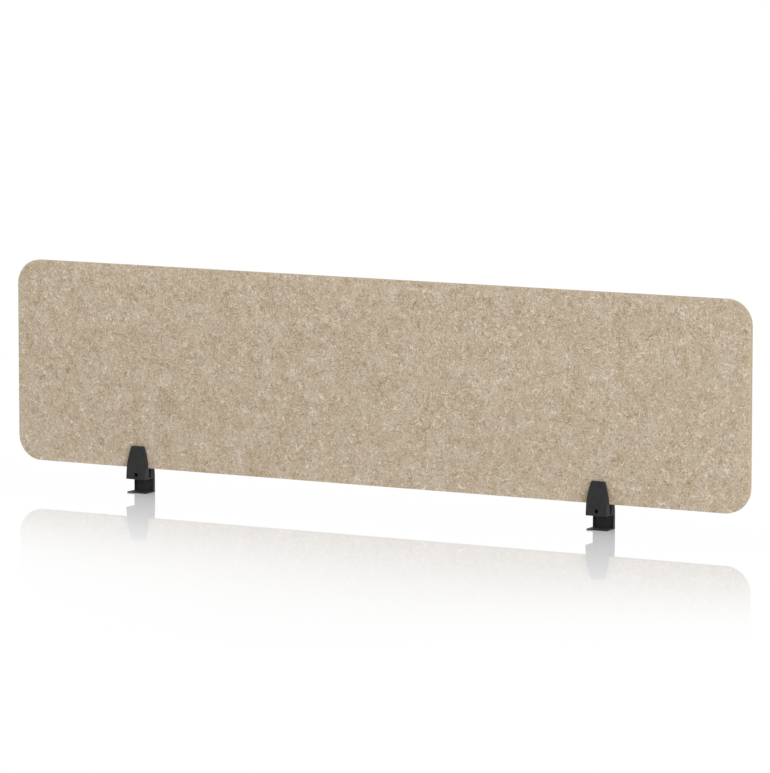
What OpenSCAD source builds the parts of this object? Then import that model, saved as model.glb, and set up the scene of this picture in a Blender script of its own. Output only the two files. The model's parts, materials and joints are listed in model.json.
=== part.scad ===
// Desk privacy panel: a felt board gripped along its lower edge by two clamps.
// Each clamp hooks over the edge of a desk top and slides along the board.
// X runs along the board, -Y is the side with the screws, Z is up, and Z = 0 is under the feet.

/* [Board] */
// Length of the felt board
board_w = 1600; // [1000:10:2000]
// Height of the felt board
board_h = 400; // [250:10:600]
// Thickness of the felt board
board_t = 12; // [9:0.5:18]
// Radius of the board's corners
corner_r = 50; // [5:1:100]

/* [Clamp places] */
// Centre of the left clamp, from the board's middle
left_x = -521; // [-700:0.5:-60]
// Centre of the right clamp, from the board's middle
right_x = 490.5; // [60:0.5:700]

/* [Desk hook] */
// Width of a clamp along the board
clamp_w = 43.5; // [36:0.5:70]
// Height of the notch that takes the desk top
desk_gap = 25.5; // [16:0.5:60]
// Thickness of the bent steel plate
plate_t = 2.5; // [2:0.1:4]
// Depth of the foot, from its front edge to the back of the web
foot_d = 33.7; // [24:0.1:60]
// Depth of the folded side flanges of the web
flange_d = 7; // [4:0.5:12]
// Thickness of those flanges, which are drawn thin in the press
flange_t = 1.2; // [0.8:0.1:2.5]
// Outer radius of the plate's bends
bend_r = 1.5; // [0.5:0.1:2]
// Radius of the two screw holes in the foot
foot_hole_r = 2.25; // [1.5:0.05:3]
// Distance between the two screw holes in the foot
foot_hole_pitch = 24; // [18:0.5:26]

/* [Jaws] */
// Height of the seat that carries the board, above the hook's ledge
seat_h = 19.5; // [15:0.5:30]
// Height of board that the jaws grip
grip_h = 43; // [25:1:60]
// Thickness of a jaw at its thick lower part, beside the board
jaw_t = 12.5; // [10:0.1:20]
// Thickness of a jaw at its tip
tip_t = 6; // [3.5:0.1:9]
// Width of a jaw at its tip
tip_w = 28; // [26:0.5:36]
// Height above the ledge at which a jaw's outer face starts to lean towards the board
lean_start = 3; // [1:0.5:20]
// Height above the seat at which a jaw starts to narrow
taper_start = 0.5; // [0:0.5:12]
// Bow of the jaw's narrowing sides, where 1 is straight
taper_bow = 1.6; // [1:0.1:2.5]
// Chamfer of a tip's two upper corners
tip_corner = 1.5; // [0.8:0.1:4]
// Slit between the two jaws, under the board
jaw_slit = 8; // [6:0.5:10]
// Chamfer along the jaw's outer edges
jaw_chamfer = 0.8; // [0.3:0.1:1.2]

/* [Grip pads] */
// Width of a rubber grip pad
pad_w = 22; // [16:0.5:24]
// Height of a rubber grip pad
pad_h = 28; // [15:0.5:32]
// Thickness of a rubber grip pad
pad_t = 1; // [0.8:0.1:2]
// How far a pad stands out of its jaw
pad_proud = 0.2; // [0.1:0.05:0.5]

/* [Fasteners] */
// Height of the pinch screw above the hook's ledge
screw_z = 6.2; // [5:0.1:7]
// Radius of the pinch screw's shank
screw_r = 2.5; // [2:0.1:3]
// Radius of the pinch screw's head
head_r = 4.25; // [3.5:0.05:4.5]
// Height of the pinch screw's head
head_h = 5; // [3:0.1:5]
// Width of the hexagon key's socket, across its flats
socket_af = 4; // [2:0.5:5]
// Depth of the hexagon key's socket
socket_d = 2.5; // [1:0.1:2.8]
// Width of the nut, across its flats
nut_af = 8; // [6.5:0.5:8.5]
// Thickness of the nut
nut_t = 4; // [2:0.1:4.5]
// Depth of the nut below the back jaw's outer face
nut_sink = 4.4; // [0.5:0.1:5]
// Radius of the two guide pins
pin_r = 1.5; // [1:0.1:2]
// Distance between the two guide pins
pin_pitch = 29; // [28:0.5:31]
// Length of the guide pins
pin_len = 28; // [22:0.5:30]
// Radius of the two screws that fix the back jaw to the hook
fixing_r = 1.5; // [1:0.1:1.5]
// Length of those screws, with their countersunk heads
fixing_len = 12; // [6:0.5:16]
// Distance between those two screws
fixing_pitch = 15; // [14:0.5:16]

/* [Clearances] */
// Radial clearance of a screw or pin that slides in its hole
slide_gap = 0.08; // [0.02:0.01:0.1]
// Clearance round the nut and round the screw's head
pocket_gap = 0.3; // [0.1:0.05:0.5]
// Depth of the screw's head below the front jaw's face
head_sink = 4; // [0:0.1:5]
// Room left in front of the guide pins, in the front jaw's holes
pin_end_gap = 0.5; // [0.3:0.1:1]

/* [Hidden] */
$fn = 64;
// Small overlap that joins two shapes of one solid
eps = 0.01;
// How far a cut runs past the face that it opens
over = 1;
// Number of flats that follow the bow of a jaw's side
bow_steps = 8;

// Heights, from the underside of the feet
ledge_under = plate_t + desk_gap;
ledge_top = ledge_under + plate_t;
lean_z = ledge_top + lean_start;
seat_z = ledge_top + seat_h;
taper_z = seat_z + taper_start;
tip_z = seat_z + grip_h;
bolt_z = ledge_top + screw_z;
pad_z = seat_z + (grip_h - pad_h) / 2;

// Depths, from the board's middle plane
jaw_in = board_t / 2 + pad_proud;
jaw_out = jaw_in + jaw_t;
tip_out = jaw_in + tip_t;
pad_back = board_t / 2 + pad_t;
web_in = jaw_out - plate_t;
foot_front = jaw_out - foot_d;
fixing_y = (jaw_slit / 2 + jaw_out) / 2;
head_seat = jaw_out - head_sink - head_h;
nut_seat = jaw_out - nut_sink - nut_t;
screw_end = jaw_out - nut_sink;
pin_hole_end = pin_len / 2 + pin_end_gap;

// Countersunk heads of the fixing screws
countersink_r = 2 * fixing_r;
countersink_h = fixing_r;

module rounded_rectangle(w, h, r) {
    square([w - 2 * r, h], center = true);
    square([w, h - 2 * r], center = true);
    for (sx = [-1, 1], sz = [-1, 1])
        translate([sx * (w / 2 - r), sz * (h / 2 - r)]) circle(r, $fn = 128);
}

// Stands a drawing made in X and Z upright, with its thickness along +Y
module upright(depth) rotate([90, 0, 0]) translate([0, 0, -depth]) linear_extrude(depth) children();

// A rod along +Y from y0 to y1 at the given X and Z
module rod(x, z, r, y0, y1) translate([x, y0, z]) rotate([-90, 0, 0]) cylinder(r = r, h = y1 - y0);

// A hexagonal prism along +Y with flats above and below
module hexagon(z, af, y0, y1)
    translate([0, y0, z]) rotate([-90, 30, 0]) cylinder(r = af / 2 / cos(30), h = y1 - y0, $fn = 6);

module pair(pitch) for (s = [-1, 1]) translate([s * pitch / 2, 0, 0]) children();

module felt_panel() {
    color("tan") translate([0, -board_t / 2, seat_z + board_h / 2])
        upright(board_t) rounded_rectangle(board_w, board_h, corner_r);
}

// Side view of the bent plate: foot, web and ledge, open towards the front
module hook_profile() {
    translate([foot_front, 0]) square([foot_d - bend_r, plate_t]);
    translate([-jaw_out, ledge_under]) square([2 * jaw_out - bend_r, plate_t]);
    translate([web_in, bend_r]) square([plate_t, ledge_top - 2 * bend_r]);
    for (z = [bend_r, ledge_top - bend_r])
        translate([jaw_out - bend_r, z]) circle(bend_r);
}

module desk_hook() {
    color("dimgray") difference() {
        union() {
            translate([-clamp_w / 2, 0, 0]) rotate([90, 0, 90]) linear_extrude(clamp_w) hook_profile();
            for (x = [-clamp_w / 2, clamp_w / 2 - flange_t])
                translate([x, jaw_out - flange_d, plate_t - eps])
                    cube([flange_t, flange_d - bend_r, desk_gap + 2 * eps]);
        }
        pair(foot_hole_pitch) translate([0, 0, -over]) cylinder(r = foot_hole_r, h = plate_t + 2 * over);
        pair(fixing_pitch) translate([0, fixing_y, ledge_under]) {
            translate([0, 0, -over]) cylinder(r = fixing_r, h = plate_t + 2 * over);
            translate([0, 0, -eps])
                cylinder(r1 = countersink_r + eps, r2 = fixing_r, h = countersink_h + eps);
        }
    }
}

// Side view of a jaw: thick foot on the ledge, seat for the board, leaning outer face
module jaw_profile() {
    c = jaw_chamfer;
    polygon([
        [jaw_slit / 2, ledge_top], [jaw_out, ledge_top], [jaw_out, lean_z],
        [tip_out, tip_z - c], [tip_out - c, tip_z], [jaw_in + c / 2, tip_z], [jaw_in, tip_z - c / 2],
        [jaw_in, seat_z], [jaw_slit / 2, seat_z]
    ]);
}

// One side of a jaw's front view, from the foot up to the tip's corner
function jaw_side() = [
    [clamp_w / 2, ledge_top],
    for (i = [0:bow_steps])
        let (t = i / bow_steps, width = clamp_w - (clamp_w - tip_w) * pow(t, taper_bow))
        [width / 2, taper_z + t * (tip_z - tip_corner - taper_z)],
    [tip_w / 2 - tip_corner, tip_z]
];

// Front view of a jaw: straight below, with sides that bow in towards its tip
module jaw_front_view() {
    side = jaw_side();
    polygon([each side, for (i = [len(side) - 1:-1:0]) [-side[i].x, side[i].y]]);
}

// A plain jaw behind the board, before its holes and recess
module jaw_blank() {
    intersection() {
        translate([-clamp_w / 2, 0, 0]) rotate([90, 0, 90]) linear_extrude(clamp_w) jaw_profile();
        upright(jaw_out + over) jaw_front_view();
    }
}

// The space a pad fills in the face of its jaw
module pad_block(y0, y1) translate([-pad_w / 2, y0, pad_z]) cube([pad_w, y1 - y0, pad_h]);

module rear_jaw() {
    color("dimgray") difference() {
        jaw_blank();
        pad_block(0, pad_back);
        rod(0, bolt_z, screw_r + slide_gap, 0, jaw_out + over);
        hexagon(bolt_z, nut_af + 2 * pocket_gap, nut_seat, jaw_out + over);
        pair(pin_pitch) rod(0, bolt_z, pin_r, 0, pin_len / 2);
        pair(fixing_pitch) translate([0, fixing_y, ledge_under]) cylinder(r = fixing_r, h = fixing_len);
    }
}

module front_jaw() {
    color("dimgray") difference() {
        mirror([0, 1, 0]) jaw_blank();
        pad_block(-pad_back, 0);
        rod(0, bolt_z, screw_r + slide_gap, -jaw_out - over, 0);
        rod(0, bolt_z, head_r + pocket_gap, -jaw_out - over, -head_seat);
        pair(pin_pitch) rod(0, bolt_z, pin_r + slide_gap, -pin_hole_end, 0);
    }
}

module pinch_screw() {
    color("black") difference() {
        union() {
            rod(0, bolt_z, head_r, -head_seat - head_h, -head_seat);
            rod(0, bolt_z, screw_r, -head_seat - eps, screw_end);
        }
        hexagon(bolt_z, socket_af, -head_seat - head_h - over, -head_seat - head_h + socket_d);
    }
}

module nut() {
    color("silver") difference() {
        hexagon(bolt_z, nut_af, nut_seat, nut_seat + nut_t);
        rod(0, bolt_z, screw_r + slide_gap, nut_seat - over, nut_seat + nut_t + over);
    }
}

module rear_pad() color("black") pad_block(board_t / 2, pad_back);

module front_pad() color("black") pad_block(-pad_back, -board_t / 2);

module guide_pins() color("silver") pair(pin_pitch) rod(0, bolt_z, pin_r, -pin_len / 2, pin_len / 2);

module jaw_fixings() {
    color("silver") pair(fixing_pitch) translate([0, fixing_y, ledge_under]) {
        cylinder(r = fixing_r, h = fixing_len);
        cylinder(r1 = countersink_r, r2 = fixing_r, h = countersink_h);
    }
}

module left() translate([left_x, 0, 0]) children();

module right() translate([right_x, 0, 0]) children();

felt_panel();
left() desk_hook();  // left_desk_hook
left() rear_jaw();  // left_rear_jaw
left() front_jaw();  // left_front_jaw
left() pinch_screw();  // left_pinch_screw
left() nut();  // left_nut
left() rear_pad();  // left_rear_pad
left() front_pad();  // left_front_pad
left() guide_pins();  // left_guide_pins
left() jaw_fixings();  // left_jaw_fixings
right() desk_hook();  // right_desk_hook
right() rear_jaw();  // right_rear_jaw
right() front_jaw();  // right_front_jaw
right() pinch_screw();  // right_pinch_screw
right() nut();  // right_nut
right() rear_pad();  // right_rear_pad
right() front_pad();  // right_front_pad
right() guide_pins();  // right_guide_pins
right() jaw_fixings();  // right_jaw_fixings
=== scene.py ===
# %% [markdown]
# # A felt desk screen on two clamps
# The screen is one board of pressed felt that stands in two black clamps. The frame comes packed, with
# every part at its real size and place, so this lesson only dresses it: it gives each surface its finish,
# builds the felt, softens the edges of the metal and winds the threads on the screws. The frame is loaded
# first.

# %% Load the frame
import json
import math

import bmesh
import bpy
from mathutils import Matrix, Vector


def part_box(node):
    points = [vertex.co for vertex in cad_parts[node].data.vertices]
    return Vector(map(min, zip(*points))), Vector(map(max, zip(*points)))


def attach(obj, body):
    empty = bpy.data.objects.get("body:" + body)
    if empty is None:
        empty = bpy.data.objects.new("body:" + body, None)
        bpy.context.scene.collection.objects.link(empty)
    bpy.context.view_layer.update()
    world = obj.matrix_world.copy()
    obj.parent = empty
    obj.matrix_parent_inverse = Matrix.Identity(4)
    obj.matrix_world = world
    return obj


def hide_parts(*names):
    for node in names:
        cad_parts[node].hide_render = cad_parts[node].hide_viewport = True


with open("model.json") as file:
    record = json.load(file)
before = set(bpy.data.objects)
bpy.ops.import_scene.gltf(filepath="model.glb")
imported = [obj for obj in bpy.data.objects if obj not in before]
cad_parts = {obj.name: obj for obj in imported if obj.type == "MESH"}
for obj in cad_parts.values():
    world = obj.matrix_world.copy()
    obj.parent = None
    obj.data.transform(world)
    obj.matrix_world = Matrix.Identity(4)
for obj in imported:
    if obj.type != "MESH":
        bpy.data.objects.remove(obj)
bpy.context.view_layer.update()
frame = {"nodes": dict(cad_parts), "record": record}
nodes = frame["nodes"]
bodies = frame["record"]["behaviour"]["bodies"]
body_of_node = {node: body for body, members in bodies.items() for node in members}
SIDES = ("left", "right")
MM = 0.001

# %% [markdown]
# ## Helpers
# Paint charts and screens give colours as sRGB hex values, while Blender's sockets hold linear light, so
# one function turns one into the other. Another one adds a node to a tree, sets its fields and links its
# inputs.

# %% Colour and node helpers
def colour(hex_code, alpha=1.0):
    """sRGB hex text to a linear RGBA tuple."""
    channels = [int(hex_code[i:i + 2], 16) / 255 for i in (1, 3, 5)]
    return tuple(c / 12.92 if c <= 0.04045 else ((c + 0.055) / 1.055) ** 2.4 for c in channels) + (alpha,)


def add(tree, kind, inputs=None, **fields):
    """Adds a node and sets its fields. Inputs go by name or number: a value is set on the socket, and the
    output of another node is linked to it."""
    node = tree.nodes.new(kind)
    for name, value in fields.items():
        setattr(node, name, value)
    for key, value in (inputs or {}).items():
        if isinstance(value, bpy.types.NodeSocket):
            tree.links.new(value, node.inputs[key])
        else:
            node.inputs[key].default_value = value
    return node


def new_material(name):
    """An empty node material, with its output."""
    material = bpy.data.materials.new(name)
    material.use_nodes = True
    material.node_tree.nodes.clear()
    return material, material.node_tree, add(material.node_tree, "ShaderNodeOutputMaterial")


# %% [markdown]
# ## Camera
# A long lens far away keeps the board's long edges almost parallel. The camera stands to the right of the
# board and a little above its middle, and it aims at a point just beside the board's centre.

# %% Camera
VIEW_AZIMUTH = math.radians(28.79)
VIEW_ELEVATION = math.radians(7.125)
VIEW_DISTANCE = 10.262
LENS_MM = 249.04
SENSOR_MM = 36
FAR_LIMIT = 100
AIM_RIGHT, AIM_UP = 0.02496, -0.00816

board_low, board_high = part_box("felt_panel")
board_middle = (board_low + board_high) / 2


def direction(azimuth, elevation):
    """A step of one metre. Azimuth 0 is straight in front of the board, and 90 degrees is at its right."""
    return Vector((math.sin(azimuth) * math.cos(elevation), -math.cos(azimuth) * math.cos(elevation),
                   math.sin(elevation)))


to_camera = direction(VIEW_AZIMUTH, VIEW_ELEVATION)
camera_right = Vector((math.cos(VIEW_AZIMUTH), math.sin(VIEW_AZIMUTH), 0))
camera_up = to_camera.cross(camera_right)

camera = bpy.data.objects.new("camera", bpy.data.cameras.new("camera"))
bpy.context.scene.collection.objects.link(camera)
camera.data.lens = LENS_MM
camera.data.sensor_width = SENSOR_MM
camera.data.clip_end = FAR_LIMIT
aim = board_middle + camera_right * AIM_RIGHT + camera_up * AIM_UP
camera.location = aim + to_camera * VIEW_DISTANCE
camera.rotation_mode = "QUATERNION"
camera.rotation_quaternion = (-to_camera).to_track_quat("-Z", "Y")
bpy.context.scene.camera = camera
bpy.context.scene.view_settings.view_transform = "Standard"
print("camera at", [round(c, 3) for c in camera.location])

# %% [markdown]
# ## Light
# A studio for pale goods: the walls are white to the eye and to anything glossy, but they light the scene
# at a lower level, so that colours keep their depth. The key light comes from the right as a distant soft
# source. A sun lamp is used for it and not a soft box, because a lamp a few metres away would fall off
# along a board that is over a metre and a half long. Its wide angle blurs the shadows that the clamps throw
# on the felt. A weaker lamp behind the board lights its back and its top edge.

# %% World and lamps
world = bpy.data.worlds.new("white studio")
bpy.context.scene.world = world
world.use_nodes = True
sky = world.node_tree
sky.nodes.clear()
ROOM_LEVEL = 0.66
LAMP_DISTANCE = 3


def seen_directly(tree):
    """1 for rays from the camera, from a mirror or through glass, and 0 for the rays that carry light."""
    rays = add(tree, "ShaderNodeLightPath")
    direct = add(tree, "ShaderNodeMath", {0: rays.outputs["Is Camera Ray"],
                 1: rays.outputs["Is Glossy Ray"]}, operation="MAXIMUM")
    return add(tree, "ShaderNodeMath", {0: direct.outputs[0], 1: rays.outputs["Is Transmission Ray"]},
               operation="MAXIMUM").outputs[0]


level = add(sky, "ShaderNodeMapRange", {"Value": seen_directly(sky), "To Min": ROOM_LEVEL, "To Max": 1.0})
white = add(sky, "ShaderNodeBackground", {"Color": (1, 1, 1, 1), "Strength": level.outputs[0]})
add(sky, "ShaderNodeOutputWorld", {"Surface": white.outputs[0]})


def far_lamp(name, azimuth, elevation, softness, strength):
    """A sun lamp. All its angles are in degrees, and softness is how wide the lamp looks from the board."""
    to_lamp = direction(math.radians(azimuth), math.radians(elevation))
    light = bpy.data.objects.new(name, bpy.data.lights.new(name, "SUN"))
    light.data.angle = math.radians(softness)
    light.data.energy = strength
    light.location = board_middle + to_lamp * LAMP_DISTANCE
    light.rotation_mode = "QUATERNION"
    light.rotation_quaternion = to_lamp.to_track_quat("Z", "Y")
    bpy.context.scene.collection.objects.link(light)
    return light


far_lamp("key", azimuth=62, elevation=27, softness=28, strength=1.72)
far_lamp("back light", azimuth=200, elevation=40, softness=30, strength=0.8)

# %% [markdown]
# ## Floor
# The floor is a cast acrylic sheet, white through and polished, so it takes a clear image and hardly a
# shadow. It has no horizon, because it shines as white as the room. It mirrors the board clearly where the
# feet touch it and less and less further out. The fading follows the floor's own X and Y, with the board at
# zero, so it stays put when the camera moves. A small matt share, which fades too, keeps the soft shadow at
# the feet.

# %% Floor
FLOOR_HALF = 40
MIRROR_SHARE = 0.44     # of the light, at the feet
MIRROR_FADE = 2.2       # how fast that goes with the square of the distance from the board
END_FADE = 4.4          # how much faster still towards the board's ends
CLEAREST_AT = 0.47      # metres along X, where the image keeps best
CONTACT_SHARE = 0.20    # an extra share of mirror right under the board
CONTACT_REACH = 0.05    # metres
MATT_SHARE = 0.06       # the share of plain white paint that takes a shadow
MATT_FADE = 10.0        # how fast that share goes, per metre
MATT_WHITE = "#D8D8D8"
POLISH = 0.03           # roughness of the mirror


def maths(tree, operation, *values):
    """One arithmetic step on numbers or sockets."""
    return add(tree, "ShaderNodeMath", dict(enumerate(values)), operation=operation).outputs[0]


floor_mesh = bpy.data.meshes.new("floor")
corner_signs = ((-1, -1), (1, -1), (1, 1), (-1, 1))
floor_mesh.from_pydata([(x * FLOOR_HALF, y * FLOOR_HALF, 0) for x, y in corner_signs], [], [(0, 1, 2, 3)])
floor = bpy.data.objects.new("floor", floor_mesh)
bpy.context.scene.collection.objects.link(floor)

acrylic, tree, out = new_material("polished white acrylic")
xyz = add(tree, "ShaderNodeSeparateXYZ", {0: add(tree, "ShaderNodeTexCoord").outputs["Object"]})
away = maths(tree, "ABSOLUTE", xyz.outputs["Y"])
aside = maths(tree, "SUBTRACT", xyz.outputs["X"], CLEAREST_AT)
aside = maths(tree, "MULTIPLY", maths(tree, "MULTIPLY", aside, aside), away)
rate = maths(tree, "MULTIPLY_ADD", aside, -END_FADE, -MIRROR_FADE)
haze = maths(tree, "EXPONENT", maths(tree, "MULTIPLY", maths(tree, "MULTIPLY", away, away), rate))
contact = maths(tree, "EXPONENT", maths(tree, "MULTIPLY", away, -1 / CONTACT_REACH))
mirror = maths(tree, "MULTIPLY_ADD", contact, CONTACT_SHARE, maths(tree, "MULTIPLY", haze, MIRROR_SHARE))
near = maths(tree, "EXPONENT", maths(tree, "MULTIPLY", away, -MATT_FADE))
shine = maths(tree, "MULTIPLY_ADD", near, -MATT_SHARE, 1.0)
shine = maths(tree, "MULTIPLY", shine, seen_directly(tree))
matt = add(tree, "ShaderNodeBsdfDiffuse", {"Color": colour(MATT_WHITE)})
glow = add(tree, "ShaderNodeEmission", {"Color": (1, 1, 1, 1), "Strength": 1.0})
plain = add(tree, "ShaderNodeMixShader", {0: shine, 1: matt.outputs[0], 2: glow.outputs[0]})
gloss = add(tree, "ShaderNodeBsdfGlossy", {"Color": (1, 1, 1, 1), "Roughness": POLISH})
both = add(tree, "ShaderNodeMixShader", {0: mirror, 1: plain.outputs[0], 2: gloss.outputs[0]})
tree.links.new(both.outputs[0], out.inputs["Surface"])
floor.data.materials.append(acrylic)
print("floor mirrors", round(MIRROR_SHARE + CONTACT_SHARE, 2), "of the light at the feet")

# %% [markdown]
# ## Felt finish
# The board is needle-punched polyester felt: pale, sand and brown fibres are mixed, laid in every direction
# and pressed hot. From near, one sees curled strokes of single tufts; from further off, soft clouds a few
# centimetres wide where one colour gathers. Noise textures make the clouds and the grain, and thin ridges
# of warped noise make the curled tufts. Every pattern is given its real size in millimetres on the board.

# %% Felt helpers
def per_metre(size_mm):
    """The Scale of a noise whose features are that many millimetres apart."""
    return 1000 / size_mm


def noise(tree, where, size_mm, detail=2.0, roughness=0.5, distortion=0.0):
    """A noise texture. Detail is how many finer layers it has, and distortion warps it into curls."""
    return add(tree, "ShaderNodeTexNoise", {"Vector": where, "Scale": per_metre(size_mm), "Detail": detail,
               "Roughness": roughness, "Distortion": distortion})


def spread(tree, value, low, high, to_low=0.0, to_high=1.0):
    """Stretches the part of a value between low and high to the range asked for."""
    return add(tree, "ShaderNodeMapRange", {"Value": value, "From Min": low, "From Max": high,
               "To Min": to_low, "To Max": to_high}).outputs[0]


def blend_colours(tree, share, first, second):
    """The second colour laid over the first, as far as share says. The Mix node has a pair of inputs for
    each kind of value, and its colour pair is 6 and 7."""
    return add(tree, "ShaderNodeMix", {"Factor": share, 6: first, 7: second}, data_type="RGBA").outputs[2]


def tufts(tree, where, size_mm, shift, width):
    """Short curled strokes: 1 where a warped noise crosses its middle value, and 0 beside that line. A
    second noise breaks the strokes into lengths of about their own size."""
    moved = add(tree, "ShaderNodeVectorMath", {0: where, 1: (shift, shift * 1.7, shift * 0.6)},
                operation="ADD")
    field = noise(tree, moved.outputs[0], size_mm, detail=1.0, distortion=0.9)
    off = maths(tree, "ABSOLUTE", maths(tree, "SUBTRACT", field.outputs["Fac"], 0.5))
    stroke = add(tree, "ShaderNodeMapRange", {"Value": off, "From Min": 0.0, "From Max": width,
                 "To Min": 1.0, "To Max": 0.0}, interpolation_type="SMOOTHSTEP")
    breaks = noise(tree, moved.outputs[0], size_mm * 0.8, detail=0.0)
    return maths(tree, "MULTIPLY", stroke.outputs[0], spread(tree, breaks.outputs["Fac"], 0.42, 0.58))


# %% [markdown]
# ## Felt material
# The knife that cuts the board out leaves a plainer edge, where the cut ends of the fibres show and the
# layers of the fleece lie as fine lines along the board. That edge's colour is also painted darker, as
# painted shade that stands in for the shade along the board's top edge. The normal tells the material
# where that edge is: it is the part of the surface that doesn't face straight to the front or the back.

# %% Felt material
FELT_SAND, FELT_STONE = "#B29A75", "#CCBEAA"
# The cut-edge colour and its share are partly the plain colour of the cut fibres and partly painted shade:
# they were made darker to stand in for the shade along the board's top edge.
FELT_PALE, FELT_BROWN, FELT_CUT_AND_SHADE = "#EBE0D1", "#8D744F", "#A99880"
GRAIN_SHARE = 0.44
CUT_AND_SHADE_SHARE = 0.7
CLOUD_MM, GRAIN_MM, LAYER_MM = 34, 3.2, 0.9
STROKE_WIDTH = 0.035
STROKE_RELIEF = 0.25
FELT_RELIEF = 0.6 * MM
LAYER_STRETCH = (0.1, 1.0, 0.1)

# Each run of tufts has a size in millimetres, a shift that keeps it off the others, a colour and a share.
TUFTS = ((15, 3.1, FELT_PALE, 0.75), (15, 7.7, FELT_BROWN, 0.58), (10, 12.9, FELT_PALE, 0.62),
         (11, 17.3, FELT_BROWN, 0.50), (6, 23.9, FELT_BROWN, 0.38), (6, 31.1, FELT_PALE, 0.42))


def felt_material():
    """Punched and hot pressed felt: quite dull, with a faint sheen where fibre ends stand up."""
    material, tree, out = new_material("needle punched PET felt")
    texture_place = add(tree, "ShaderNodeTexCoord")
    where = texture_place.outputs["Object"]
    clouds = noise(tree, where, CLOUD_MM, detail=4.0, roughness=0.65)
    grain = noise(tree, where, GRAIN_MM, detail=3.0, roughness=0.7)
    cloud = spread(tree, clouds.outputs["Fac"], 0.3, 0.7)
    base = blend_colours(tree, cloud, colour(FELT_SAND), colour(FELT_STONE))
    dark = blend_colours(tree, GRAIN_SHARE, base, colour(FELT_BROWN))
    light = blend_colours(tree, GRAIN_SHARE, base, colour(FELT_PALE))
    base = blend_colours(tree, spread(tree, grain.outputs["Fac"], 0.3, 0.7), dark, light)
    relief = grain.outputs["Fac"]
    for size, shift, tint, share in TUFTS:
        stroke = tufts(tree, where, size, shift, STROKE_WIDTH)
        base = blend_colours(tree, maths(tree, "MULTIPLY", stroke, share), base, colour(tint))
        relief = maths(tree, "MULTIPLY_ADD", stroke, STROKE_RELIEF, relief)
    facing = add(tree, "ShaderNodeSeparateXYZ", {0: texture_place.outputs["Normal"]}).outputs["Y"]
    # Mask of the cut edge, all round the rim: it lays the cut colour, and the painted shade in it, over every
    # face of the edge.
    cut_and_shade = spread(tree, maths(tree, "ABSOLUTE", facing), 0.75, 0.35)
    squeezed = add(tree, "ShaderNodeVectorMath", {0: where, 1: LAYER_STRETCH}, operation="MULTIPLY")
    layers = noise(tree, squeezed.outputs[0], LAYER_MM)
    layer = spread(tree, layers.outputs["Fac"], 0.35, 0.65)
    # The layers blend sand with the darkened cut colour, so they carry the painted shade as well.
    layer_and_shade_colour = blend_colours(tree, layer, colour(FELT_SAND), colour(FELT_CUT_AND_SHADE))
    base = blend_colours(tree, maths(tree, "MULTIPLY", cut_and_shade, CUT_AND_SHADE_SHARE), base, layer_and_shade_colour)
    bump = add(tree, "ShaderNodeBump", {"Strength": 0.6, "Distance": FELT_RELIEF, "Height": relief})
    shader = add(tree, "ShaderNodeBsdfPrincipled", {"Base Color": base, "Roughness": 0.95, "IOR": 1.45,
                 "Specular IOR Level": 0.15, "Sheen Weight": 0.12, "Sheen Roughness": 0.6,
                 "Normal": bump.outputs[0]})
    tree.links.new(shader.outputs[0], out.inputs["Surface"])
    return material


felt = felt_material()
print("felt:", len(felt.node_tree.nodes), "nodes")

# %% [markdown]
# ## Geometry Nodes
# The board, the loose fibres and the screw threads follow rules, so Geometry Nodes make them. Each tree
# starts from named inputs for its sizes, and ends by turning its instances into real faces and giving them
# a material. A tree is run once, on an empty holder, and what it makes is kept as a plain mesh.

# %% Geometry Nodes helpers
def group_with(name, **inputs):
    """A geometry node group with a geometry output and named inputs, each given as its socket type."""
    group = bpy.data.node_groups.new(name, "GeometryNodeTree")
    group.interface.new_socket("Geometry", in_out="OUTPUT", socket_type="NodeSocketGeometry")
    for label, kind in inputs.items():
        group.interface.new_socket(label, in_out="INPUT", socket_type="NodeSocket" + kind)
    return group, group.nodes.new("NodeGroupInput").outputs, group.nodes.new("NodeGroupOutput")


def joined(group, *parts):
    """Several geometries as one."""
    whole = group.nodes.new("GeometryNodeJoinGeometry")
    for part in parts:
        group.links.new(part, whole.inputs[0])
    return whole.outputs[0]


def finished(group, result, geometry, material):
    """The last two steps of every tree: real faces in place of instances, and their material."""
    real = add(group, "GeometryNodeRealizeInstances", {0: geometry})
    dressed = add(group, "GeometryNodeSetMaterial", {"Geometry": real.outputs[0], "Material": material})
    group.links.new(dressed.outputs[0], result.inputs[0])
    return group


def kept_mesh(holder):
    """The evaluated shape of an object, as a plain mesh; the object itself and its modifiers go."""
    mesh = bpy.data.meshes.new_from_object(holder.evaluated_get(bpy.context.evaluated_depsgraph_get()))
    bpy.data.objects.remove(holder)
    return mesh


def baked(name, group, **values):
    """Runs a tree with the named values and keeps the result as a plain mesh on a new object."""
    holder = bpy.data.objects.new(name + "_holder", bpy.data.meshes.new(name + "_source"))
    bpy.context.scene.collection.objects.link(holder)
    modifier = holder.modifiers.new("nodes", "NODES")
    modifier.node_group = group
    sockets = {s.name: s.identifier for s in group.interface.items_tree if s.in_out == "INPUT"}
    for label, value in values.items():
        modifier[sockets[label]] = value
    piece = bpy.data.objects.new(name, kept_mesh(holder))
    bpy.context.scene.collection.objects.link(piece)
    return piece


# %% [markdown]
# ## The board
# A cutter shears the board out of a pressed sheet, so its faces are flat and its edges are square, with
# only the last millimetre rounded where the hot platen and the knife let the fibres spring. The tree draws
# that shape from its sizes: a rectangle whose corners are filleted, filled and pushed out to the board's
# thickness.

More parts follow.
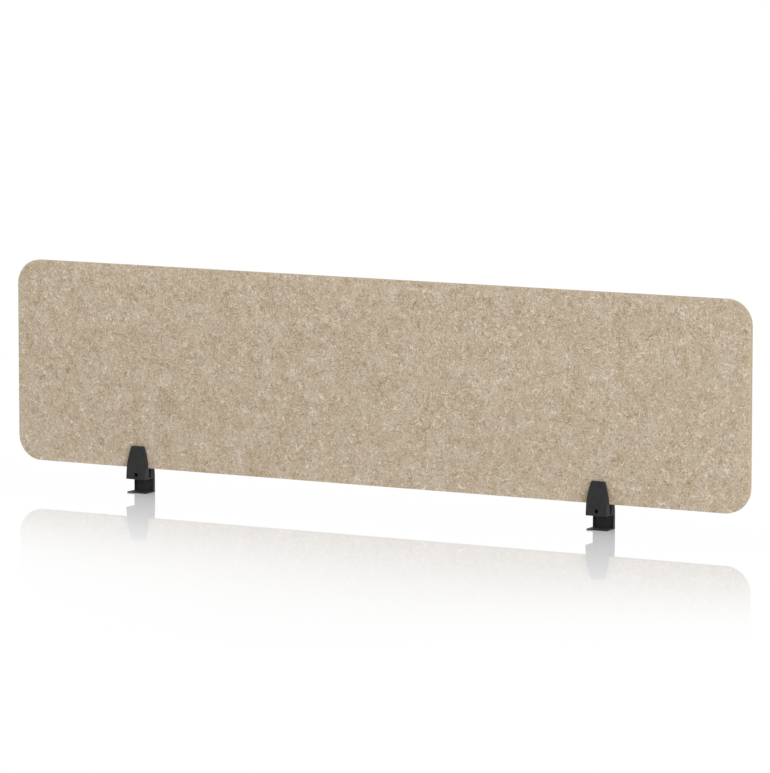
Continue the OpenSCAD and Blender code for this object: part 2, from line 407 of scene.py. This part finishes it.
# %% Board tree
def board_tree():
    """A flat board with round corners, whose face lies in X and Y and whose thickness is along Z."""
    group, given, result = group_with("rounded board", Width="Float", Height="Float", Thickness="Float",
                                      Radius="Float", Segments="Int", Material="Material")
    outline = add(group, "GeometryNodeCurvePrimitiveQuadrilateral",
                  {"Width": given["Width"], "Height": given["Height"]})
    rounded = add(group, "GeometryNodeFilletCurve", {"Curve": outline.outputs[0],
                  "Count": given["Segments"], "Radius": given["Radius"]}, mode="POLY")
    face = add(group, "GeometryNodeFillCurve", {"Curve": rounded.outputs[0]}, mode="NGONS")
    front = add(group, "GeometryNodeExtrudeMesh", {"Mesh": face.outputs[0], "Individual": False,
                "Offset Scale": given["Thickness"]}, mode="FACES")
    rear = add(group, "GeometryNodeFlipFaces", {"Mesh": face.outputs[0]})
    whole = joined(group, front.outputs[0], rear.outputs[0])
    closed = add(group, "GeometryNodeMergeByDistance", {"Geometry": whole, "Distance": 0.01 * MM})
    return finished(group, result, closed.outputs[0], given["Material"])


# %% [markdown]
# The tree's board lies flat, so its corners are moved here to stand it up in its place. A bevel then rounds
# the rim, and the long narrow faces that it leaves are shaded smooth.

# %% Board
EDGE_SOFTNESS = 1.0 * MM
CORNER_RADIUS = 50 * MM
CORNER_STEPS = 32
RIM_STEPS = 3
RIM_ANGLE = math.radians(60)
CREASE_ANGLE = math.radians(35)

size = board_high - board_low
board = baked("felt_board", board_tree(), Width=size.x, Height=size.z, Thickness=size.y,
              Radius=CORNER_RADIUS, Segments=CORNER_STEPS, Material=felt)
for vertex in board.data.vertices:
    x, y, z = vertex.co
    vertex.co = (board_middle.x + x, board_middle.y + size.y / 2 - z, board_middle.z + y)
shaper = bmesh.new()
shaper.from_mesh(board.data)
rim = [e for e in shaper.edges if len(e.link_faces) == 2 and e.calc_face_angle() > RIM_ANGLE]
bmesh.ops.bevel(shaper, geom=rim, offset=EDGE_SOFTNESS, segments=RIM_STEPS, profile=0.5, affect="EDGES")
bmesh.ops.recalc_face_normals(shaper, faces=shaper.faces)
for face in shaper.faces:
    face.material_index = 0
    face.smooth = len(face.verts) == 4
shaper.to_mesh(board.data)
shaper.free()
board.data.materials.clear()
board.data.materials.append(felt)
board.data.set_sharp_from_angle(angle=CREASE_ANGLE)
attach(board, "panel")
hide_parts("felt_panel")
print("board:", len(board.data.polygons), "faces,", [round(s, 4) for s in board.dimensions])

# %% [markdown]
# ## Loose fibres
# Needle punching never binds every fibre: some lie on top of the felt, curled and only half pressed in, and
# they catch the light. Thousands of thin spindles do the same here. Points are scattered over a sheet just
# inside the board's outline, more of them where a noise gathers them, and each gets one of three bent
# spindles, turned any way and scaled at random. The strip that the grip pads press flat has none. Pale and
# brown fibres are made in two runs of one tree, for the front and the back.

# %% Fibre tree
FIBRE_TILT = math.radians(0.5)
CLUSTER_MM = 30
FEWEST, MOST = 0.3, 1.7
FIBRE_STEPS = 5
END_GIRTH, MIDDLE_SWELL = 0.25, 0.8
SHORTEST, LONGEST = 0.5, 1.35
TILT_X_SEED, TILT_Y_SEED, TURN_SEED, SHAPE_SEED, SCALE_SEED = 11, 12, 13, 14, 15

# How the two ends of a fibre swing, in shares of its length: a bow, an S and a hook.
BENDS = (((0.3, 0.35, 0), (-0.3, 0.35, 0)),
         ((0.3, 0.4, 0), (-0.3, -0.4, 0)),
         ((0.5, 0.1, 0), (-0.1, 0.5, 0)))


def random_in(group, low, high, seed, kind="FLOAT"):
    """A random value for each point, between low and high. The node has its own pair of inputs and its own
    output for each kind of value, so they go by number."""
    values = {"Seed": seed}
    if kind == "INT":
        values.update({4: low, 5: high})
    else:
        values.update({2: low, 3: high})
    made = add(group, "FunctionNodeRandomValue", values, data_type=kind)
    return made.outputs[2 if kind == "INT" else 1]


def spindle(group, given, near, far):
    """A thin closed rod with three sides on a bent path; near and far say how its two ends swing."""
    halves = [maths(group, "MULTIPLY", given["Length"], share) for share in (-0.5, 0.5)]
    ends = [add(group, "ShaderNodeCombineXYZ", {0: x}).outputs[0] for x in halves]
    swings = [add(group, "ShaderNodeVectorMath", {0: swing, "Scale": given["Length"]},
                  operation="SCALE").outputs[0] for swing in (near, far)]
    path = add(group, "GeometryNodeCurvePrimitiveBezierSegment", {"Resolution": FIBRE_STEPS,
               "Start": ends[0], "Start Handle": swings[0], "End Handle": swings[1], "End": ends[1]},
               mode="OFFSET")
    along = add(group, "GeometryNodeSplineParameter").outputs["Factor"]
    arch = maths(group, "SINE", maths(group, "MULTIPLY", along, math.pi))
    girth = maths(group, "MULTIPLY_ADD", arch, MIDDLE_SWELL, END_GIRTH)
    path = add(group, "GeometryNodeSetCurveRadius", {"Curve": path.outputs[0], "Radius": girth})
    radius = maths(group, "MULTIPLY", given["Thickness"], 0.5)
    ring = add(group, "GeometryNodeCurvePrimitiveCircle", {"Resolution": 3, "Radius": radius})
    rod = add(group, "GeometryNodeCurveToMesh", {"Curve": path.outputs[0], "Profile Curve": ring.outputs[0],
              "Fill Caps": True})
    return add(group, "GeometryNodeGeometryToInstance", {0: rod.outputs[0]}).outputs[0]


def fibre_tree():
    """Fibres strewn over a flat sheet, which Turn and Place then stand against a face of the board."""
    group, given, result = group_with("loose fibres", Width="Float", Height="Float", Bare="Float",
                                      Density="Float", Length="Float", Thickness="Float", Seed="Int",
                                      Turn="Vector", Place="Vector", Material="Material")
    sheet = add(group, "GeometryNodeMeshGrid", {"Size X": given["Width"], "Size Y": given["Height"],
                "Vertices X": 2, "Vertices Y": 2})
    spot = add(group, "GeometryNodeInputPosition").outputs[0]
    height = add(group, "ShaderNodeSeparateXYZ", {0: spot}).outputs["Y"]
    from_foot = maths(group, "MULTIPLY_ADD", given["Height"], 0.5, height)
    above = maths(group, "GREATER_THAN", from_foot, given["Bare"])
    cluster = noise(group, spot, CLUSTER_MM).outputs["Fac"]
    cluster = spread(group, cluster, 0.35, 0.65, FEWEST, MOST)
    density = maths(group, "MULTIPLY", maths(group, "MULTIPLY", cluster, given["Density"]), above)
    points = add(group, "GeometryNodeDistributePointsOnFaces", {"Mesh": sheet.outputs[0],
                 "Density": density, "Seed": given["Seed"]}, distribute_method="RANDOM")
    below = maths(group, "SUBTRACT", 1.0, above)
    kept = add(group, "GeometryNodeDeleteGeometry", {0: points.outputs[0], 1: below}, domain="POINT")
    shapes = joined(group, *[spindle(group, given, near, far) for near, far in BENDS])
    turn = add(group, "ShaderNodeCombineXYZ", {0: random_in(group, -FIBRE_TILT, FIBRE_TILT, TILT_X_SEED),
               1: random_in(group, -FIBRE_TILT, FIBRE_TILT, TILT_Y_SEED),
               2: random_in(group, 0.0, math.tau, TURN_SEED)})
    turn = add(group, "FunctionNodeEulerToRotation", {0: turn.outputs[0]})
    strewn = add(group, "GeometryNodeInstanceOnPoints", {"Points": kept.outputs[0], "Instance": shapes,
                 "Pick Instance": True,
                 "Instance Index": random_in(group, 0, len(BENDS) - 1, SHAPE_SEED, "INT"),
                 "Rotation": turn.outputs[0], "Scale": random_in(group, SHORTEST, LONGEST, SCALE_SEED)})
    stood = add(group, "GeometryNodeTransform", {"Geometry": strewn.outputs[0],
                "Translation": given["Place"], "Rotation": given["Turn"]})
    return finished(group, result, stood.outputs[0], given["Material"])


# %% [markdown]
# Each loose fibre has one colour, as it was dyed before the felt was mixed. It was drawn out smooth, so it
# keeps a little gloss where the felt around it has none, and that is what makes it stand out.

# %% Fibre material
def fibre_material(name, hex_code):
    """Drawn polyester fibre, dyed in the mass."""
    material, tree, out = new_material(name)
    shader = add(tree, "ShaderNodeBsdfPrincipled", {"Base Color": colour(hex_code), "Roughness": 0.6,
                 "IOR": 1.5, "Specular IOR Level": 0.3, "Sheen Weight": 0.2, "Sheen Roughness": 0.5})
    tree.links.new(shader.outputs[0], out.inputs["Surface"])
    return material


# %% [markdown]
# The sheet that the points are scattered on ends a margin inside the board's outline. That keeps the fibres
# off the rim, but for a few tips that reach less than half a millimetre over its round corners, as loose
# fibres do. Every run has its own seed, so the fibres lie the same way each time. They are about ten times as
# thick as real ones, which would be too fine to show.

# %% Fibres
FIBRE_MARGIN = 19 * MM
FIBRE_LENGTH, FIBRE_THICKNESS = 16 * MM, 0.40 * MM
FIBRE_SINK = 0.02 * MM
FIBRES_PER_M2 = 20000
BARE_STRIP = 50 * MM
FIRST_SEED = 5

fibres = fibre_tree()
stands_to = {"front": (-1, (math.pi / 2, 0, 0)), "back": (1, (math.pi / 2, 0, math.pi))}
tints = {"pale": "#DDD0BF", "brown": "#9C8262"}
coats = {tint: fibre_material(tint + " polyester fibre", code) for tint, code in tints.items()}
for number, (face, (way, turn)) in enumerate(stands_to.items()):
    for tint in tints:
        surface = board_middle.y + way * (size.y / 2 - FIBRE_SINK)
        piece = baked(f"{face}_{tint}_fibres", fibres, Width=size.x - 2 * FIBRE_MARGIN,
                      Height=size.z - 2 * FIBRE_MARGIN, Bare=BARE_STRIP - FIBRE_MARGIN,
                      Density=float(FIBRES_PER_M2), Length=FIBRE_LENGTH, Thickness=FIBRE_THICKNESS,
                      Seed=FIRST_SEED + len(tints) * number + list(tints).index(tint), Turn=turn,
                      Place=(board_middle.x, surface, board_middle.z), Material=coats[tint])
        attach(piece, "panel")
        piece.data.calc_loop_triangles()
        print(piece.name, len(piece.data.loop_triangles), "triangles")

# %% [markdown]
# ## Clamp finishes
# The hooks are bent steel sheet and the jaws are die castings. Both are powder coated: the powder melts
# into an even black skin that rounds every edge a little and sets with a fine orange peel, a few hundredths
# of a millimetre high. The screw is black oxide, the nut, pins and fixing screws are bright zinc plate, and
# the pads are moulded rubber. In each, a coarse noise shifts colour and gloss, and a fine one makes the
# relief.

# %% Metal and rubber materials
def shop_material(name, dark, light, cloud_mm, grain_mm, relief_mm, roughness, swing, **constants):
    """A surface that drifts between two near colours, and between a little more and a little less gloss, in
    soft clouds, with a fine grain in its relief."""
    material, tree, out = new_material(name)
    where = add(tree, "ShaderNodeTexCoord").outputs["Object"]
    cloud = noise(tree, where, cloud_mm, detail=3.0).outputs["Fac"]
    grain = noise(tree, where, grain_mm, detail=2.0).outputs["Fac"]
    tint = blend_colours(tree, spread(tree, cloud, 0.3, 0.7), colour(dark), colour(light))
    rough = spread(tree, cloud, 0.3, 0.7, roughness - swing, roughness + swing)
    bump = add(tree, "ShaderNodeBump", {"Strength": 0.4, "Distance": relief_mm * MM, "Height": grain})
    sockets = {label.replace("_", " "): value for label, value in constants.items()}
    shader = add(tree, "ShaderNodeBsdfPrincipled", {"Base Color": tint, "Roughness": rough,
                 "Normal": bump.outputs[0], **sockets})
    tree.links.new(shader.outputs[0], out.inputs["Surface"])
    return material


# Powder coat: satin black, with the soft sparkle of orange peel 0.8 mm from crest to crest.
powder_coat = shop_material("satin black powder coat", "#2F2F30", "#373738", cloud_mm=14, grain_mm=0.8,
                            relief_mm=0.05, roughness=0.52, swing=0.04, IOR=1.5, Specular_IOR_Level=0.08)
# Black oxide: a thin dark skin on steel, which stays metallic and shows the oil it was dipped in as clouds.
black_oxide = shop_material("black oxide on steel", "#19191B", "#242427", cloud_mm=5, grain_mm=0.5,
                            relief_mm=0.02, roughness=0.42, swing=0.08, Metallic=1.0)
# Zinc plate: bright and slightly blue from its passivation bath, with a crystalline grain.
zinc = shop_material("blue passivated zinc plate", "#AEB4BC", "#C4C6C6", cloud_mm=4, grain_mm=0.4,
                     relief_mm=0.02, roughness=0.30, swing=0.08, Metallic=1.0)
# Rubber: matt from the blasted mould, and dusty grey rather than black.
rubber = shop_material("moulded EPDM rubber", "#141414", "#1D1D1C", cloud_mm=6, grain_mm=0.6,
                       relief_mm=0.06, roughness=0.82, swing=0.06, IOR=1.5, Specular_IOR_Level=0.3)
print("finishes:", [m.name for m in (powder_coat, black_oxide, zinc, rubber)])

# %% [markdown]
# ## Hooks and jaws
# A sharp edge is the surest sign of a computer model, and a coated edge is never sharp. Each hook and jaw
# is a copy of its frame node. The copy's loose triangles are merged, its flat faces are dissolved into one
# face each, and the outer edges get a small round. Hardened normals keep the flat faces flat in the light.

# %% Softened copies
FLAT_ANGLE = math.radians(1)
SHARP_ANGLE = math.radians(30)
MERGE_DISTANCE = 0.001 * MM
ROUND_STEPS = 3
HOOK_ROUND_MM, JAW_ROUND_MM = 0.3, 0.4


def merged_copy(node):
    """A new mesh with the node's shape, whose triangles share their corners."""
    shaper = bmesh.new()
    shaper.from_mesh(nodes[node].data)
    bmesh.ops.remove_doubles(shaper, verts=shaper.verts, dist=MERGE_DISTANCE)
    bmesh.ops.recalc_face_normals(shaper, faces=shaper.faces)
    return shaper


def softened(node, name, width_mm, material):
    """A copy of a node with rounded outer edges, which stands for it."""
    shaper = merged_copy(node)
    bmesh.ops.dissolve_limit(shaper, angle_limit=FLAT_ANGLE, verts=shaper.verts, edges=shaper.edges)
    weight = shaper.edges.layers.float.new("bevel_weight_edge")
    for edge in shaper.edges:
        if edge.is_manifold and edge.is_convex and edge.calc_face_angle() > SHARP_ANGLE:
            edge[weight] = 1.0
    for face in shaper.faces:
        face.smooth = True
    mesh = bpy.data.meshes.new(name + "_rough")
    shaper.to_mesh(mesh)
    shaper.free()
    mesh.set_sharp_from_angle(angle=SHARP_ANGLE)
    holder = bpy.data.objects.new(name + "_holder", mesh)
    bpy.context.scene.collection.objects.link(holder)
    bevel = holder.modifiers.new("round", "BEVEL")
    bevel.limit_method = "WEIGHT"
    bevel.width = width_mm * MM
    bevel.segments = ROUND_STEPS
    bevel.harden_normals = True
    bevel.miter_outer = "MITER_ARC"
    piece = bpy.data.objects.new(name, kept_mesh(holder))
    bpy.context.scene.collection.objects.link(piece)
    piece.data.materials.clear()
    piece.data.materials.append(material)
    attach(piece, body_of_node[node])
    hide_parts(node)
    print(name, len(piece.data.polygons), "faces")
    return piece


for side in SIDES:
    softened(side + "_desk_hook", side + "_coated_hook", HOOK_ROUND_MM, powder_coat)
    softened(side + "_rear_jaw", side + "_coated_rear_jaw", JAW_ROUND_MM, powder_coat)
    softened(side + "_front_jaw", side + "_coated_front_jaw", JAW_ROUND_MM, powder_coat)

# %% [markdown]
# ## Pinch screws
# The pinch screw is an M5 cap screw, with a thread rolled into its shank, and its last turns show in the
# slit between the jaws. The frame's screw has a plain shank, as wide as the crests of the thread. Its copy
# gets a thinner core here, and Geometry Nodes wind a ridge with a square section round it: a helix is a
# curve with a rule, and its pitch and radius stay inputs. The corner of the square is the crest, as on a
# real thread.

# %% Thread tree
THREAD_PITCH = 0.8 * MM
CREST_RADIUS = 2.5 * MM
RIDGE_HEIGHT = THREAD_PITCH / 2
STEPS_A_TURN = 20


def thread_tree():
    """The ridge of a thread, wound up along Z and then turned to lie along the screw."""
    group, given, result = group_with("rolled thread", Turns="Float", Length="Float", Radius="Float",
                                      Ridge="Float", Turn="Vector", Place="Vector", Material="Material")
    helix = add(group, "GeometryNodeCurveSpiral", {"Resolution": STEPS_A_TURN, "Rotations": given["Turns"],
                "Start Radius": given["Radius"], "End Radius": given["Radius"], "Height": given["Length"],
                "Reverse": True})
    level = add(group, "GeometryNodeSetCurveNormal", {"Curve": helix.outputs[0]}, mode="Z_UP")
    square = add(group, "GeometryNodeCurvePrimitiveCircle", {"Resolution": 4, "Radius": given["Ridge"]})
    ridge = add(group, "GeometryNodeCurveToMesh", {"Curve": level.outputs[0],
                "Profile Curve": square.outputs[0], "Fill Caps": True})
    placed = add(group, "GeometryNodeTransform", {"Geometry": ridge.outputs[0],
                 "Translation": given["Place"], "Rotation": given["Turn"]})
    return finished(group, result, placed.outputs[0], given["Material"])


# %% [markdown]
# The ridge and the core become one mesh, which rides on the screw's own body and so turns with it. The
# core's surface stands a hair above the widest part of the ridge, so neighbouring turns don't run into each
# other.

# %% Pinch screws
HEAD_HEIGHT = 5 * MM
PLAIN_END = 0.6 * MM
CORE_MARGIN = 0.02 * MM
SHANK_MARGIN = 0.1 * MM
CORE_RADIUS = CREST_RADIUS - RIDGE_HEIGHT + CORE_MARGIN

thread = thread_tree()
for side in SIDES:
    node = side + "_pinch_screw"
    low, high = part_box(node)
    axis_x, axis_z = (low.x + high.x) / 2, (low.z + high.z) / 2
    start = low.y + HEAD_HEIGHT + PLAIN_END + RIDGE_HEIGHT
    length = high.y - PLAIN_END - RIDGE_HEIGHT - start
    piece = baked(side + "_threaded_screw", thread, Turns=length / THREAD_PITCH, Length=length,
                  Radius=CREST_RADIUS - RIDGE_HEIGHT, Ridge=RIDGE_HEIGHT, Turn=(-math.pi / 2, 0, 0),
                  Place=(axis_x, start, axis_z), Material=black_oxide)
    shaper = merged_copy(node)
    for vertex in shaper.verts:
        out_x, out_z = vertex.co.x - axis_x, vertex.co.z - axis_z
        radius = math.hypot(out_x, out_z)
        if vertex.co.y > low.y + HEAD_HEIGHT - MERGE_DISTANCE and radius < CREST_RADIUS + SHANK_MARGIN:
            vertex.co.x = axis_x + out_x * CORE_RADIUS / radius
            vertex.co.z = axis_z + out_z * CORE_RADIUS / radius
    shaper.from_mesh(piece.data)
    bmesh.ops.recalc_face_normals(shaper, faces=shaper.faces)
    for face in shaper.faces:
        face.smooth = True
    shaper.to_mesh(piece.data)
    shaper.free()
    piece.data.set_sharp_from_angle(angle=SHARP_ANGLE)
    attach(piece, body_of_node[node])
    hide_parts(node)
    turns = round(length / THREAD_PITCH, 1)
    print(piece.name, len(piece.data.polygons), "faces,", turns, "turns of thread")

# %% [markdown]
# ## Small parts
# The nuts, pins, fixing screws and pads hide between the jaws or show as no more than an edge, so they keep
# their frame shapes, and only change their material.

# %% Small parts
FINISH_OF = {"nut": zinc, "guide_pins": zinc, "jaw_fixings": zinc, "rear_pad": rubber, "front_pad": rubber}
for side in SIDES:
    for part, finish in FINISH_OF.items():
        dressed = nodes[f"{side}_{part}"].data
        dressed.materials.clear()
        dressed.materials.append(finish)
print("dressed", len(FINISH_OF), "small parts at each side")
